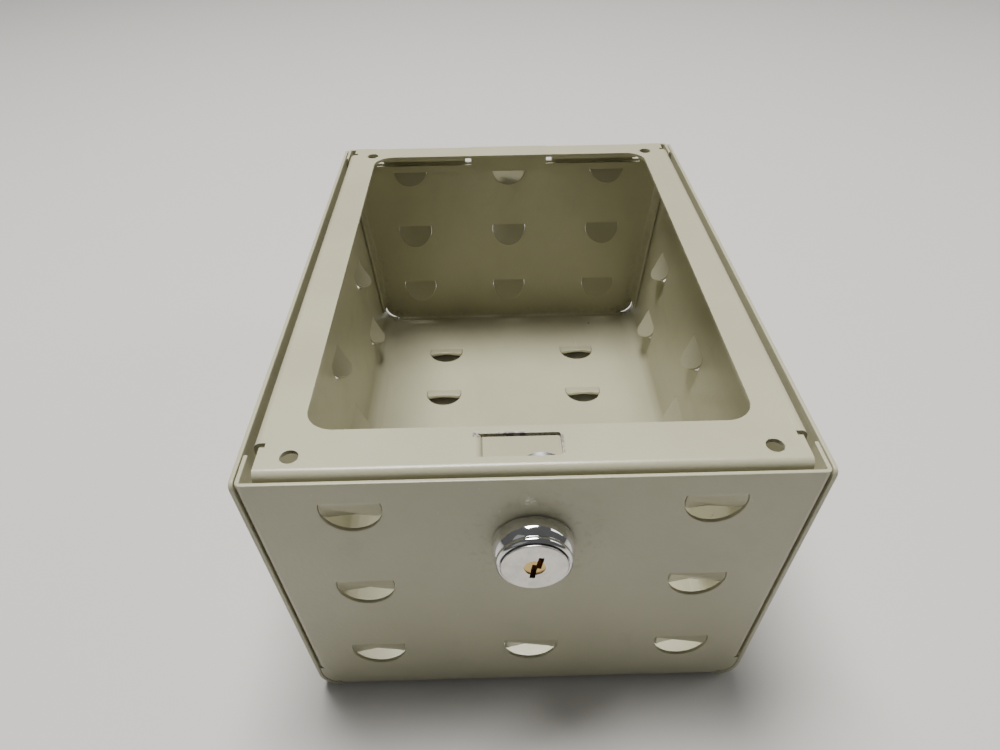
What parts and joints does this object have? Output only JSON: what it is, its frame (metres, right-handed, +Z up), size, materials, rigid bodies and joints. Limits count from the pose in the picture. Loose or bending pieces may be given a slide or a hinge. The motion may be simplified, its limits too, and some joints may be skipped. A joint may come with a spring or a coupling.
{
  "type": "vented locking guard box",
  "caption": "Vented sheet-steel guard box with a key lock that hooks on to a flanged frame screwed to a wall, to shield a small wall-mounted control.",
  "frame": {"origin": "centre of the part's footprint, on the outside face of the cover's floor", "axes": "+Z up with the box lying on its face and its wall side up, +Y from the lock wall to the hook wall, +X to the right seen from the lock wall"},
  "size_m": [0.1524, 0.2204, 0.0985],
  "materials": {
    "enamel": "semi-gloss baked enamel with a fine orange peel",
    "bright_chrome": "bright plated",
    "satin_steel": "satin stainless",
    "zinc_plate": "zinc plated, slightly dull",
    "brass": "machined",
    "spring_steel": "drawn wire"
  },
  "bodies": {
    "cover": {"cover": "enamel", "lock_housing": "bright_chrome", "lock_washer": "zinc_plate", "lock_nut": "zinc_plate"},
    "frame": {"mounting_frame": "enamel"},
    "plug": {"lock_plug": "brass", "face_cap": "satin_steel", "plug_clip": "zinc_plate", "stop_washer": "zinc_plate", "cam": "zinc_plate", "cam_washer": "zinc_plate", "cam_screw": "zinc_plate", "wafer_1": "brass", "wafer_2": "brass", "wafer_3": "brass", "wafer_4": "brass", "wafer_5": "brass", "wafer_spring_1": "spring_steel", "wafer_spring_2": "spring_steel", "wafer_spring_3": "spring_steel", "wafer_spring_4": "spring_steel", "wafer_spring_5": "spring_steel"}
  },
  "joints": [
    {"name": "frame_swing", "type": "hinge", "parent": "cover", "child": "frame", "pos_m": [0, 0.10575, 0.0943], "axis": [-1, 0, 0], "range_deg": [0, 25]},
    {"name": "plug_turn", "type": "hinge", "parent": "cover", "child": "plug", "pos_m": [0, -0.10185, 0.072], "axis": [0, 1, 0], "range_deg": [-43.5, 46.5]}
  ]
}
